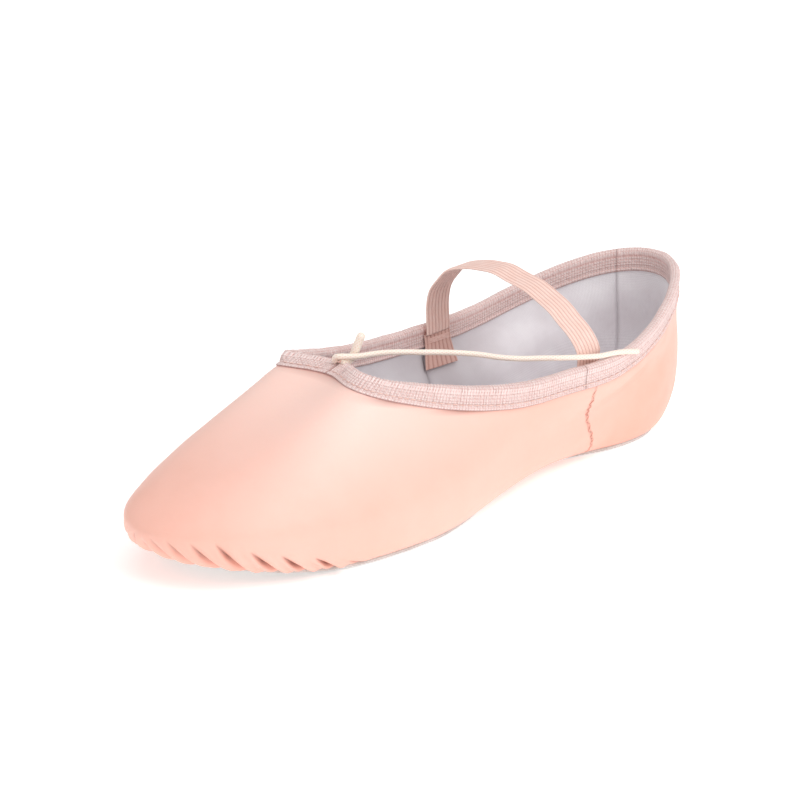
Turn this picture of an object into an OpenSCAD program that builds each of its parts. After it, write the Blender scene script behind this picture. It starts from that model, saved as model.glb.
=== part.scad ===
// Pleated leather ballet slipper with an elastic instep strap and a drawstring.
// X runs across the shoe, Y from toe (-) to heel (+), Z up; the sole lies on z = 0.

/* [Upper] */
// Length from toe tip to heel back
shoe_len = 230; // [225:1:235]
// Width across the ball of the foot
ball_w = 77; // [74:1:80]
// Width at the waist of the shoe
waist_w = 54; // [52:1:56]
// Width around the heel
heel_w = 49; // [48:1:52]
// Height over the toe that the topline falls from, well ahead of the opening
throat_h = 66.5; // [65.5:0.5:67.5]
// Height of the topline at the sides
side_h = 37; // [36:0.5:38]
// Height of the topline at the heel
heel_h = 55; // [53:0.5:57]
// Rise of the toe off the ground
toe_spring = 9.5; // [6:0.5:11]
// Thickness of the upper leather
leather_t = 1; // [0.8:0.1:1.2]
// Thickness of the cotton lining
lining_t = 0.6; // [0.5:0.1:0.8]

/* [Sole] */
// Width of the suede sole at the ball
sole_ball_w = 70; // [66:1:72]
// Width of the suede sole at the waist
sole_waist_w = 28; // [26:1:32]
// Width of the suede sole at the heel
sole_heel_w = 42; // [40:1:44]
// Thickness of the suede sole
suede_t = 1.5; // [1.2:0.1:1.8]
// Thickness of the insole board
board_t = 1; // [0.8:0.1:1.2]
// Thickness of the foam under the sock lining
foam_t = 1.5; // [1:0.1:2]
// Thickness of the sock lining
sock_t = 0.5; // [0.4:0.1:0.8]

/* [Binding and drawstring] */
// Height of the binding below the topline, inside and outside
tape_h = 5; // [4.5:0.5:6]
// Thickness of the binding
tape_t = 0.6; // [0.5:0.1:0.8]
// Diameter of the elastic drawstring
cord_d = 1.8; // [1.6:0.1:2]

/* [Elastic strap] */
// Width of the strap
strap_w = 12; // [10:0.5:13]
// Thickness of the strap
strap_t = 1; // [0.8:0.1:1.2]
// Height of the two sewn anchors
anchor_z = 42.5; // [42:0.5:43]

/* [Hidden] */

peach = "#f6c4aa";
pink_tape = "#eab7a8";
cotton = "#dcdce0";
suede = "#8d8580";
cream = "#f4dcc0";
thread = "#e3a893";

toe_y = -shoe_len/2;
heel_y = shoe_len/2;
ball_y = -33;
waist_y = 41;
hind_y = 75;
side_y = 38;          // where the lines of the upper stand upright
side_pace = 90;       // how fast those lines move along the shoe there
toe_tuck = 13;        // how far the sole's end lies inside the toe
heel_tuck = 12;
spring_len = 64;
throat_y = toe_y + 51.7;
rim_heel_y = heel_y - 2;
notch_y = 26;         // how far the drawstring pulls the middle of the throat back
notch_z = 6;          // and down
notch_w = 17.8;
wall_t = leather_t + lining_t;
margin = 8;           // leather turned under the foot
stack0 = suede_t + 0.1;
board_z = stack0 + wall_t + 0.1;

// Stations round the upper: 0 at the toe, SIDE at the heel, then back along the far side.
// SLIT is half the gap at the throat, where the two ends of the binding meet.
SLIT = 0.006;
HALF = 28;
stations = concat([0, SLIT], [for (i = [1:HALF]) i/HALF]);
SIDE = len(stations) - 1;
LOOP = 2*SIDE;
NEAR_SEAM = 17;
NEAR_LAP = 15;
BACK_SEAM = SIDE + 3;
LINING_SEAM = LOOP - 14;

// Rows up the upper: lasting margin, turn of the sole, side, and binding band.
TURN_ROWS = 4;
WALL_ROWS = 6;
BAND_ROWS = 3;
BAND = 1 + TURN_ROWS + WALL_ROWS;
RIM = BAND + BAND_ROWS;

function clamp01(x) = max(0, min(1, x));
function smooth(a, b, x) = let (t = clamp01((x - a)/(b - a))) t*t*(3 - 2*t);
function unit(v) = v/norm(v);
function hermite(t, a, b, ma, mb) =
    a*(2*t^3 - 3*t^2 + 1) + b*(3*t^2 - 2*t^3) + ma*(t^3 - 2*t^2 + t) + mb*(t^3 - t^2);
// Position along the shoe at station s of a line from y0 at the toe to y1 at the heel.
function along(s, y0, y1) =
    s < 0.5 ? hermite(2*s, y0, side_y, 0, side_pace) : hermite(2*s - 1, side_y, y1, side_pace, 0);
function round_off(x, a, b, p) = sqrt(clamp01(1 - clamp01((x - a)/(b - a))^p));
// Half width of a plan outline at y.
function half_width(y, y0, y1, ball, waist, hind) =
    (ball + (waist - ball)*smooth(ball_y, waist_y, y) + (hind - waist)*smooth(waist_y, hind_y, y))
    *round_off(-y, -ball_y, -y0, 2.3)*round_off(y, hind_y, y1, 2.3);
function spring_z(y) = toe_spring*clamp01((toe_y + spring_len - y)/spring_len)^2;

function sole_half(y, inset) =
    half_width(y, toe_y + toe_tuck + inset, heel_y - heel_tuck - inset,
               sole_ball_w/2 - inset, sole_waist_w/2 - inset, sole_heel_w/2 - inset);
function sole_point(s, inset) =
    let (y = along(s, toe_y + toe_tuck + inset, heel_y - heel_tuck - inset))
    [sole_half(y, inset), y, stack0 + spring_z(y)];
function girth_point(s) =
    let (y = along(s, toe_y, heel_y),
         x = half_width(y, toe_y, heel_y, ball_w/2, waist_w/2, heel_w/2),
         z = 17 - 4.5*smooth(toe_y, ball_y, y) + smooth(ball_y, waist_y, y)
             + 10*smooth(waist_y, 95, y))
    [x, y, z];
function rim_point(s) =
    let (y = along(s, throat_y, rim_heel_y),
         w = 19.4 + 14.1*smooth(throat_y, 22, y) + 4.4*smooth(20, 85, y),
         x = w*round_off(-y, -throat_y - 28, -throat_y, 2.2)*round_off(y, 40, rim_heel_y, 1.65),
         pull = (1 - smooth(throat_y, 20, y))*exp(-(x/notch_w)^2),
         z = throat_h + (side_h - throat_h)*smooth(throat_y - 61, 22, y)
             + (heel_h - side_h)*smooth(45.5, heel_y + 12.5, y))
    [x, y + notch_y*pull, z - notch_z*pull];
function bezier(a, b, c, d, t) =
    a*(1 - t)^3 + 3*b*t*(1 - t)^2 + 3*c*t^2*(1 - t) + d*t^3;

function flat(v) = [v.x, v.y, 0];
function wall_point(g, r, s, t) =
    let (f = smooth(0.1, 0.5, s), d = r - g)
    bezier(g, g + [0, 0, (0.17 + 0.28*f)*d.z],
           r - (0.54 - 0.49*f)*flat(d) - [0, 0, (0.43 + 0.25*f)*d.z], r, t);
// Parameter on the side line at a distance below the rim, close enough for a tape edge.
function band_start(g, r, s) =
    let (step = norm(r - wall_point(g, r, s, 0.9))/0.1) 1 - tape_h/step;

function half_column(s) =
    let (m = sole_point(s, margin), p = sole_point(s, 0), g = girth_point(s), r = rim_point(s),
         tb = band_start(g, r, s))
    concat([m], [for (j = [0:TURN_ROWS])
                 bezier(p, p + 0.55*flat(g - p), g - [0, 0, 0.55*(g.z - p.z)], g, j/TURN_ROWS)],
           [for (j = [1:WALL_ROWS]) wall_point(g, r, s, tb*j/WALL_ROWS)],
           [for (j = [1:BAND_ROWS]) wall_point(g, r, s, tb + (1 - tb)*j/BAND_ROWS)]);
function flip(v) = [-v.x, v.y, v.z];
near_columns = [for (s = stations) half_column(s)];
skin = concat(near_columns,
              [for (k = [SIDE - 1:-1:1]) [for (p = near_columns[k]) flip(p)]]);
function grid_point(k, j) = skin[(k + LOOP) % LOOP][j];
function normal_at(k, j) =
    unit(cross(grid_point(k + 1, j) - grid_point(k - 1, j),
               grid_point(k, min(j + 1, RIM)) - grid_point(k, max(j - 1, 0))));
normals = [for (k = [0:LOOP - 1]) [for (j = [0:RIM]) normal_at(k, j)]];
function outward(k, j) = normals[(k + LOOP) % LOOP][j];
// Point of the upper at a depth below the outer leather face.
function layer(k, j, depth) = grid_point(k, j) - depth*outward(k, j);
function rim_up(k) = unit(layer(k, RIM, wall_t/2) - layer(k, RIM - 1, wall_t/2));

// Closed solid from a list of rings with the same number of points. Each four-sided
// patch is split along its shorter diagonal, so that touching solids share their faces.
module loft(rings) {
    n = len(rings[0]);
    m = len(rings);
    points = [for (ring = rings) each ring];
    sides = [for (i = [0:m - 2], j = [0:n - 1])
             let (a = i*n + j, b = i*n + (j + 1) % n, c = a + n, d = b + n,
                  short = norm(points[a] - points[d]) < norm(points[b] - points[c]))
             each short ? [[a, d, b], [a, c, d]] : [[a, c, b], [b, c, d]]];
    ends = [for (i = [0:n/2 - 2])
        let (a = i, b = i + 1, c = n - 2 - i, d = n - 1 - i, e = (m - 1)*n)
        each [[a, b, c], [a, c, d], [e + a, e + c, e + b], [e + a, e + d, e + c]]];
    polyhedron(points = points, faces = concat(sides, ends));
}

// One ply of the upper between stations k0 and k1, from depth d0 to depth d1.
module ply(k0, k1, d0, d1) {
    loft([for (k = [k0:k1]) concat([for (j = [RIM:-1:0]) layer(k, j, d0)],
                                   [for (j = [0:RIM]) layer(k, j, d1)])]);
}

module vamp_leather() {
    color(peach) ply(BACK_SEAM, LOOP + NEAR_SEAM, 0, leather_t);
}
module heel_leather() {
    color(peach) ply(NEAR_SEAM, BACK_SEAM, 0, leather_t);
}
module vamp_lining() {
    color(cotton) ply(LINING_SEAM, LOOP + NEAR_SEAM, leather_t, wall_t);
}
module side_lining() {
    color(cotton) ply(BACK_SEAM, LINING_SEAM, leather_t, wall_t);
}
module heel_lining() {
    color(cotton) ply(NEAR_SEAM, BACK_SEAM, leather_t, wall_t);
}

// A flat layer of the sole: the plan outline, bent up at the toe.
SPRING_STEPS = 10;
function spring_profile(z0) =
    concat([[heel_y, z0]], [for (i = [0:SPRING_STEPS])
            let (y = toe_y + spring_len*(1 - i/SPRING_STEPS)) [y, z0 + spring_z(y)]]);
function plan_outline(inset) =
    let (half = [for (i = [0:40]) let (p = sole_point(i/40, inset)) [p.x, p.y]])
    concat(half, [for (i = [39:-1:1]) [-half[i].x, half[i].y]]);
module sole_layer(inset, z0, thickness) {
    lower = spring_profile(z0);
    upper = spring_profile(z0 + thickness);
    intersection() {
        translate([0, 0, -5]) linear_extrude(45) polygon(plan_outline(inset));
        rotate([90, 0, 90]) translate([0, 0, -60]) linear_extrude(120)
            polygon(concat(lower, [for (i = [len(upper) - 1:-1:0]) upper[i]]));
    }
}
groove_in = 3;
groove_w = 1;
groove_depth = 0.6;
module suede_outsole() {
    color(suede) difference() {
        sole_layer(0, 0, suede_t);
        difference() {
            sole_layer(groove_in, -1, 1 + groove_depth);
            sole_layer(groove_in + groove_w, -2, 3 + groove_depth);
        }
    }
}
module insole_board() {
    color("#c9b79b") sole_layer(3, board_z, board_t);
}
module insole_foam() {
    color("#efe9da") sole_layer(3, board_z + board_t, foam_t);
}
module sock_lining() {
    color(cotton) sole_layer(2.5, board_z + board_t + foam_t, sock_t);
}

// Binding: a tape folded over the rim and round the drawstring.
cord_r = cord_d/2;
ROLL = 6;
roll_in = cord_r + 0.25;
roll_out = roll_in + tape_t;
function roll_centre(k) = layer(k, RIM, wall_t/2) + roll_in*rim_up(k);
function roll_point(k, r, a) =
    roll_centre(k) + r*(cos(a)*outward(k, RIM) + sin(a)*rim_up(k));
function binding_ring(k) =
    concat([for (j = [BAND:RIM]) layer(k, j, -tape_t)],
           [for (i = [0:ROLL]) roll_point(k, roll_out, 180*i/ROLL)],
           [for (j = [RIM:-1:BAND]) layer(k, j, wall_t + tape_t)],
           [for (j = [BAND:RIM]) layer(k, j, wall_t)],
           [for (i = [ROLL:-1:0]) roll_point(k, roll_in, 180*i/ROLL)],
           [for (j = [RIM:-1:BAND]) layer(k, j, 0)]);
module binding(k0, k1) {
    color(pink_tape) loft([for (k = [k1:-1:k0]) binding_ring(k)]);
}
module binding_near() {
    binding(1, NEAR_LAP);
}
module binding_far() {
    binding(BACK_SEAM, LOOP - 1);
}
module binding_heel() {
    binding(NEAR_LAP, BACK_SEAM);
}

// Round cord swept along a route.
CORD_SIDES = 8;
function way(p, i) = unit(p[min(i + 1, len(p) - 1)] - p[max(i - 1, 0)]);
function cord_ring(p, i, r) =
    let (t = way(p, i), u = unit(cross(t, [0.3, 0, 1])), v = cross(t, u))
    [for (q = [0:CORD_SIDES - 1]) p[i] + r*(cos(q*360/CORD_SIDES)*u + sin(q*360/CORD_SIDES)*v)];
module cord(p, r) {
    color(cream) loft([for (i = [0:len(p) - 1]) cord_ring(p, i, r)]);
}
function catmull(a, b, c, d, t) =
    0.5*(2*b + (c - a)*t + (2*a - 5*b + 4*c - d)*t^2 + (3*b - a - 3*c + d)*t^3);
function curve(p, n) =
    concat([for (i = [0:len(p) - 2], t = [0:n - 1])
            catmull(p[max(i - 1, 0)], p[i], p[i + 1], p[min(i + 2, len(p) - 1)], t/n)],
           [p[len(p) - 1]]);
module drawstring_casing_cord() {
    cord([for (k = [1:LOOP - 1]) roll_centre(k)], cord_r);
}
long_route = [[-1.1, -37.2, 50.7], [-0.4, -37.8, 52.3], [1.5, -37, 52.9], [4, -32.7, 52.5],
              [5.8, -24.8, 52.1], [7.7, -18.1, 51.3], [10, -11.7, 50.3], [12.4, -5.4, 49.4],
              [14.9, 0.9, 48.3], [17.5, 7.2, 46.9], [20.3, 13.4, 45.2], [23.1, 19.6, 44],
              [26.1, 25.7, 43.4], [29.9, 31.2, 43.1], [32.7, 37.6, 42.5], [33.4, 42.2, 41.8],
              [33.7, 46.2, 41.2], [34.4, 50.8, 41.1], [35.2, 54, 41], [36, 57.4, 40.6],
              [36.1, 61.3, 39.8]];
short_route = [[1.1, -36.8, 50.7], [1.3, -34.3, 50.7], [1.4, -32, 52], [2.3, -30.9, 55.5],
               [3.6, -30, 59.3]];
module drawstring_long_end() {
    cord(curve(long_route, 2), cord_r);
}
module drawstring_short_end() {
    cord(curve(short_route, 2), cord_r + 0.2);
}

// Elastic strap: an arch between two round ends that turn beside the sewn tails.
far_anchor = [-30.5, 37, anchor_z];
near_anchor = [30.5, 43.8, anchor_z];
span = norm(near_anchor - far_anchor);
span_way = unit(near_anchor - far_anchor);
back_way = cross([0, 0, 1], span_way);
strap_angle = atan2(span_way.y, span_way.x);
arch_route = [[0, 0], [0, 5], [1.2, 9.9], [3.8, 13.9], [8.5, 18.2], [15.5, 20.6], [23.4, 21.2],
              [34.2, 19.3], [45.1, 15], [54, 8.6], [59.5, 3.5], [span, 0]];
END_STEPS = 4;
end_drops = [for (i = [0:END_STEPS - 1]) strap_w/2*cos(90*(i + 0.3)/END_STEPS)];
function lying(q) = [q[0], 0, q[1]];
arch_curve = concat([for (drop = end_drops) [0, 0, -drop]],
                    curve([for (q = arch_route) lying(q)], 2),
                    [for (i = [END_STEPS - 1:-1:0]) [span, 0, -end_drops[i]]]);
// Half the strap's width at a height over the anchors: it narrows to a round end.
function strap_half(z) = z >= 0 ? strap_w/2 : sqrt((strap_w/2)^2 - z^2);
function strap_ring(p, i) =
    let (t = way(p, i), up = cross(t, [0, 1, 0])*strap_t/2, side = [0, strap_half(p[i].z), 0])
    [p[i] - up - side, p[i] - up + side, p[i] + up + side, p[i] + up - side];
module elastic_strap() {
    color(pink_tape) translate(far_anchor) rotate([0, 0, strap_angle])
        loft([for (i = [0:len(arch_curve) - 1]) strap_ring(arch_curve, i)]);
}
tail_x = 30.8;
tail_len = 17;         // from the anchor to the tail's end
tail_gap = 6.5;        // from the anchor to its start
tail_lean = 10;        // degrees that the loose ends hang away from the wall
module strap_tail(side, y) {
    color(pink_tape) translate([side*tail_x, y, anchor_z - tail_gap])
        rotate([0, side*tail_lean, 0])
            translate([-strap_t/2, -strap_w/2, tail_gap - tail_len])
                cube([strap_t, strap_w, tail_len - tail_gap]);
}
module strap_near_end() {
    strap_tail(1, near_anchor.y);
}
module strap_far_end() {
    strap_tail(-1, far_anchor.y);
}

// Stitches: short threads lying on the surface.
thread_d = 0.4;
module stitch(p, q) {
    d = q - p;
    translate(p) rotate([0, acos(d.z/norm(d)), atan2(d.y, d.x)])
        cylinder(d = thread_d, h = norm(d), $fn = 16);
}
function between(k, j, depth) =
    let (i = floor(k), f = k - i, m = min(floor(j), RIM - 1), g = j - m)
    (layer(i, m, depth)*(1 - f) + layer(i + 1, m, depth)*f)*(1 - g)
    + (layer(i, m + 1, depth)*(1 - f) + layer(i + 1, m + 1, depth)*f)*g;
module tack(side, y) {
    color(thread) for (drop = [1:3]) {
        x = side*(tail_x - strap_t/2 - 0.27 - drop*tan(tail_lean));
        z = anchor_z - tail_gap - drop;
        stitch([x, y - 4.5, z], [x, y + 4.5, z]);
    }
}
module strap_near_tack() {
    tack(1, near_anchor.y);
}
module strap_far_tack() {
    tack(-1, far_anchor.y);
}
module binding_stitches() {
    row = BAND + 1.1;
    color(thread) for (k = [2:LOOP - 3], f = [0.1, 0.6])
        stitch(between(k + f, row, -tape_t - 0.3), between(k + f + 0.3, row, -tape_t - 0.3));
}
ZIGZAGS = 9;
module zigzag(k) {
    swing = 0.2;
    ends = [for (i = [0:ZIGZAGS]) between(k + (i % 2 == 0 ? swing : -swing),
                                          4.5 + (BAND - 4.9)*i/ZIGZAGS, -0.35)];
    color(thread) for (i = [0:ZIGZAGS - 1]) {
        gap = 0.35*unit(ends[i + 1] - ends[i]);
        stitch(ends[i] + gap, ends[i + 1] - gap);
    }
}
module near_seam_zigzag() {
    zigzag(NEAR_SEAM);
}
module back_seam_zigzag() {
    zigzag(BACK_SEAM);
}
SOLE_STITCHES = 48;
module sole_stitches() {
    color(thread) for (side = [-1, 1], i = [1:SOLE_STITCHES - 1]) {
        a = sole_point((i - 0.3)/SOLE_STITCHES, groove_in + groove_w/2);
        b = sole_point((i + 0.3)/SOLE_STITCHES, groove_in + groove_w/2);
        lift = groove_depth/2 - stack0;
        stitch([side*a.x, a.y, a.z + lift], [side*b.x, b.y, b.z + lift]);
    }
}
module throat_tack() {
    p = layer(1, RIM - 1.2, -tape_t - 0.4);
    n = outward(1, RIM - 1);
    color(thread) translate([0, p.y, p.z + 0.2])
        rotate([0, acos(n.z), atan2(n.y, n.x)])
            rotate_extrude($fn = 32) translate([1.6, 0]) circle(d = 0.6, $fn = 16);
}

vamp_leather();
heel_leather();
vamp_lining();
side_lining();
heel_lining();
suede_outsole();
insole_board();
insole_foam();
sock_lining();
binding_near();
binding_far();
binding_heel();
drawstring_casing_cord();
drawstring_long_end();
drawstring_short_end();
elastic_strap();
strap_near_end();
strap_far_end();
strap_near_tack();
strap_far_tack();
binding_stitches();
near_seam_zigzag();
back_seam_zigzag();
sole_stitches();
throat_tack();
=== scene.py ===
"""Ballet slipper: detailed leather, cloth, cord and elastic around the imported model."""
import math

import bpy
import numpy as np
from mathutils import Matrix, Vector


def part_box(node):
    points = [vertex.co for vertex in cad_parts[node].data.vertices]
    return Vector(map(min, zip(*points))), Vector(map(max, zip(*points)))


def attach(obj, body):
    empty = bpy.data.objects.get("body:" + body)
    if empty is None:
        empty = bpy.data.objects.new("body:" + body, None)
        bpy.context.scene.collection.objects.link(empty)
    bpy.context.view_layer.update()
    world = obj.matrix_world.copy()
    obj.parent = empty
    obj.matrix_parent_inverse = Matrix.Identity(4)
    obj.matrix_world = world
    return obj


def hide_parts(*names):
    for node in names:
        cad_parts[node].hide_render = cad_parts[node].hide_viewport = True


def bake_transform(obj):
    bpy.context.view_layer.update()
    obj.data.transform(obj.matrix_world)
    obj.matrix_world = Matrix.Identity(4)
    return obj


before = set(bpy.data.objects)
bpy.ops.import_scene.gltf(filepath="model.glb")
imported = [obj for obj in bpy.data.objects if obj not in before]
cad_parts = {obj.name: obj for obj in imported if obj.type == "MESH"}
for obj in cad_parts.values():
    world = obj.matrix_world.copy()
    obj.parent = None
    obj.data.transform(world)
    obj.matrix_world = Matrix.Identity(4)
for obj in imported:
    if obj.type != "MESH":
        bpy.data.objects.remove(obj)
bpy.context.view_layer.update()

MM = 0.001    # all lengths below are in mm, and this turns them into metres

# ---------------------------------------------------------------- the shoe's shape, in mm
# These say the same as part.scad: the skins and the CAD solids come from the same curves.
vamp_low, vamp_high = (np.array(c)/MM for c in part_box("vamp_leather"))
_, heel_high = (np.array(c)/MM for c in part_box("heel_leather"))
TOE_Y = round(float(vamp_low[1]), 1)
HEEL_Y = round(float(heel_high[1]), 1)
BALL_W = round(float(vamp_high[0] - vamp_low[0]), 1)
WAIST_W = 54
HEEL_W = 49
THROAT_H = 66.5         # heights of the rim's curve at the throat, the side and the heel
SIDE_H = 37
HEEL_H = 55
TOE_SPRING = 9.5        # how far the toe curls up, over the first SPRING_LEN
SPRING_LEN = 64
LEATHER_T = 1.0
LINING_T = 0.6
WALL_T = LEATHER_T + LINING_T
SOLE_BALL_W = 70
SOLE_WAIST_W = 28
SOLE_HEEL_W = 42
SUEDE_T = 1.5
STACK0 = SUEDE_T + 0.1  # height of the leather's turned margin over the floor
TAPE_H = 5.0
TAPE_T = 0.6
CORD_R = 0.9
STRAP_W = 12
STRAP_T = 1.0
ANCHOR_Z = 42.5         # height at which the strap is sewn on
BALL_Y = -33
WAIST_Y = 41
HIND_Y = 75
SIDE_Y = 38             # where station 0.5 lies, and how fast the stations pass it
SIDE_PACE = 90
TOE_TUCK = 13           # how far the sole's edge lies inside the girth line
HEEL_TUCK = 12
THROAT_Y = TOE_Y + 51.7
RIM_HEEL_Y = HEEL_Y - 2
NOTCH_Y = 26            # the notch at the throat: its length, its drop and its width
NOTCH_Z = 6
NOTCH_W = 17.8
MARGIN = 8              # width of the leather turned in under the sole
ROLL_IN = CORD_R + 0.25
ROLL_OUT = ROLL_IN + TAPE_T

# Places round the upper: 0 at the toe, 1 at the heel, 2 back at the toe by the far side.
STATION = 1/28
SLIT = 0.006            # the running stitches stop this far from the throat
NEAR_SEAM = 16*STATION
NEAR_LAP = 14*STATION
BACK_SEAM = 2 - 25*STATION
LINING_SEAM = 2 - 13*STATION


def smooth(a, b, x):
    """Soft step from 0 at a to 1 at b."""
    t = np.clip((x - a)/(b - a), 0, 1)
    return t*t*(3 - 2*t)


def hermite(t, a, b, ma, mb):
    return (a*(2*t**3 - 3*t**2 + 1) + b*(3*t**2 - 2*t**3)
            + ma*(t**3 - 2*t**2 + t) + mb*(t**3 - t**2))


def along(s, y0, y1):
    """Position along the shoe at station s of a line from y0 at the toe to y1 at the heel."""
    front = hermite(np.clip(2*s, 0, 1), y0, SIDE_Y, 0, SIDE_PACE)
    rear = hermite(np.clip(2*s - 1, 0, 1), SIDE_Y, y1, SIDE_PACE, 0)
    return np.where(s < 0.5, front, rear)


def round_off(x, a, b, p):
    """1 up to a, then rounded down to 0 at b."""
    return np.sqrt(np.clip(1 - np.clip((x - a)/(b - a), 0, 1)**p, 0, 1))


def half_width(y, y0, y1, ball, waist, hind):
    w = (ball + (waist - ball)*smooth(BALL_Y, WAIST_Y, y)
         + (hind - waist)*smooth(WAIST_Y, HIND_Y, y))
    return w*round_off(-y, -BALL_Y, -y0, 2.3)*round_off(y, HIND_Y, y1, 2.3)


def spring_z(y):
    return TOE_SPRING*np.clip((TOE_Y + SPRING_LEN - y)/SPRING_LEN, 0, 1)**2


def points(x, y, z):
    return np.stack(np.broadcast_arrays(x, y, z), -1)


def sole_point(s, inset=0.0):
    """Point of the sole's edge, or of a line inside it."""
    y0, y1 = TOE_Y + TOE_TUCK + inset, HEEL_Y - HEEL_TUCK - inset
    y = along(s, y0, y1)
    x = half_width(y, y0, y1, SOLE_BALL_W/2 - inset, SOLE_WAIST_W/2 - inset,
                   SOLE_HEEL_W/2 - inset)
    return points(x, y, STACK0 + spring_z(y))


def girth_point(s):
    """Point of the line round the shoe where it is widest."""
    y = along(s, TOE_Y, HEEL_Y)
    x = half_width(y, TOE_Y, HEEL_Y, BALL_W/2, WAIST_W/2, HEEL_W/2)
    z = (17 - 4.5*smooth(TOE_Y, BALL_Y, y) + smooth(BALL_Y, WAIST_Y, y)
         + 10*smooth(WAIST_Y, 95, y))
    return points(x, y, z)


def rim_point(s):
    """Point of the upper's top edge, with the notch at the throat."""
    y = along(s, THROAT_Y, RIM_HEEL_Y)
    w = 19.4 + 14.1*smooth(THROAT_Y, 22, y) + 4.4*smooth(20, 85, y)
    x = w*round_off(-y, -THROAT_Y - 28, -THROAT_Y, 2.2)*round_off(y, 40, RIM_HEEL_Y, 1.65)
    pull = (1 - smooth(THROAT_Y, 20, y))*np.exp(-(x/NOTCH_W)**2)
    z = (THROAT_H + (SIDE_H - THROAT_H)*smooth(THROAT_Y - 61, 22, y)
         + (HEEL_H - SIDE_H)*smooth(45.5, HEEL_Y + 12.5, y))
    return points(x, y + NOTCH_Y*pull, z - NOTCH_Z*pull)


def bezier(a, b, c, d, t):
    t = t[..., None]
    return a*(1 - t)**3 + 3*b*t*(1 - t)**2 + 3*c*t**2*(1 - t) + d*t**3


UP = np.array([0.0, 0.0, 1.0])
PLAN = np.array([1.0, 1.0, 0.0])


def wall_point(s, t):
    """Side of the upper from the girth line, t = 0, to the rim, t = 1."""
    g, r = girth_point(s), rim_point(s)
    f = smooth(0.1, 0.5, s)[..., None]
    d = r - g
    return bezier(g, g + (0.17 + 0.28*f)*d*UP,
                  r - (0.54 - 0.49*f)*d*PLAN - (0.43 + 0.25*f)*d*UP, r, t)


def turn_point(s, t):
    """Turn of the upper from the sole's edge, t = 0, to the girth line, t = 1."""
    p, g = sole_point(s), girth_point(s)
    return bezier(p, p + 0.55*(g - p)*PLAN, g - 0.55*(g - p)*UP, g, t)


def station_of(q):
    """Station from 0 at the toe to 1 at the heel of a place round the upper."""
    q = np.mod(q, 2)
    return np.where(q <= 1, q, 2 - q)


def upper_point(q, v):
    """Point of the upper's outer face. v is -1 to 0 on the turned margin, 0 to 1 on the turn
    of the sole, and 1 to 2 on the side up to the rim."""
    q, v = np.broadcast_arrays(np.asarray(q, float), np.asarray(v, float))
    s = station_of(q)
    side = np.where(np.mod(q, 2) <= 1, 1.0, -1.0)
    edge = sole_point(s, MARGIN*np.clip(-v, 0, 1))
    turn = turn_point(s, np.clip(v, 0, 1))
    wall = wall_point(s, np.clip(v - 1, 0, 1))
    p = np.where((v < 0)[..., None], edge, np.where((v < 1)[..., None], turn, wall))
    return p*np.stack([side, np.ones_like(side), np.ones_like(side)], -1)


def band_start(q):
    """Where the side line passes the binding's lower edge."""
    s = station_of(q)
    step = np.linalg.norm(rim_point(s) - wall_point(s, np.full_like(s, 0.9)), axis=-1)/0.1
    return 2 - TAPE_H/step


def unit(a):
    return a/np.maximum(np.linalg.norm(a, axis=-1, keepdims=True), 1e-9)


def run_along(path):
    """Length from the start of a path to each of its points."""
    return np.concatenate([[0], np.cumsum(np.linalg.norm(np.diff(path, axis=0), axis=1))])


def outward(q, v):
    """Unit normal of the upper, pointing out of the shoe."""
    dq, dv = 1e-3, 1e-3
    a = upper_point(q + dq, v) - upper_point(q - dq, v)
    b = upper_point(q, np.minimum(v + dv, 2)) - upper_point(q, np.maximum(v - dv, -1))
    return unit(np.cross(a, b))


def wave(p, size, seed):
    """Smooth noise from -1 to 1 at a size in mm: a sum of sines in fixed directions."""
    rng = np.random.default_rng(seed)
    total = np.zeros(p.shape[:-1])
    for _ in range(7):
        k = unit(rng.normal(size=3))*2*math.pi/size*rng.uniform(0.6, 1.5)
        total += np.sin(p @ k + rng.uniform(0, 2*math.pi))
    return total/4


# ---------------------------------------------------------------- pleats of the toe
# A pleat for each entry, from the toe's middle outward: where its fold starts on the side
# line (v), and how deep it is in mm.
PLEAT_TOPS = (1.0, 1.0, 1.0, 1.0, 0.95, 0.84, 0.70, 0.58, 0.36)
PLEAT_DEPTHS = (0.7, 0.9, 1.2, 1.5, 1.7, 1.9, 2.0, 2.1, 0.9)
PLEAT_PITCH = 5.2
PLEAT_GROWTH = 0.35      # the pitch widens by twice this from pleat to pleat
PLEAT_LEAN = 4.6
PLEAT_SHIFT = 2.7        # the row starts this far before the toe's middle line
PLEAT_SHIFT_REAR = 1.9   # the same for the pleats from REAR_PLEAT on
REAR_PLEAT = 5
PLEATS_END = 72          # the pleated stretch of each side, in mm from the toe
girth_s = np.linspace(0, 1, 2001)
girth_run = run_along(girth_point(girth_s))
SIDE_RUN = girth_run[-1]     # length of the girth line along one side


def run_at(s):
    """Length round the girth from the toe to station s, in mm."""
    return np.interp(s, girth_s, girth_run)


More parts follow.
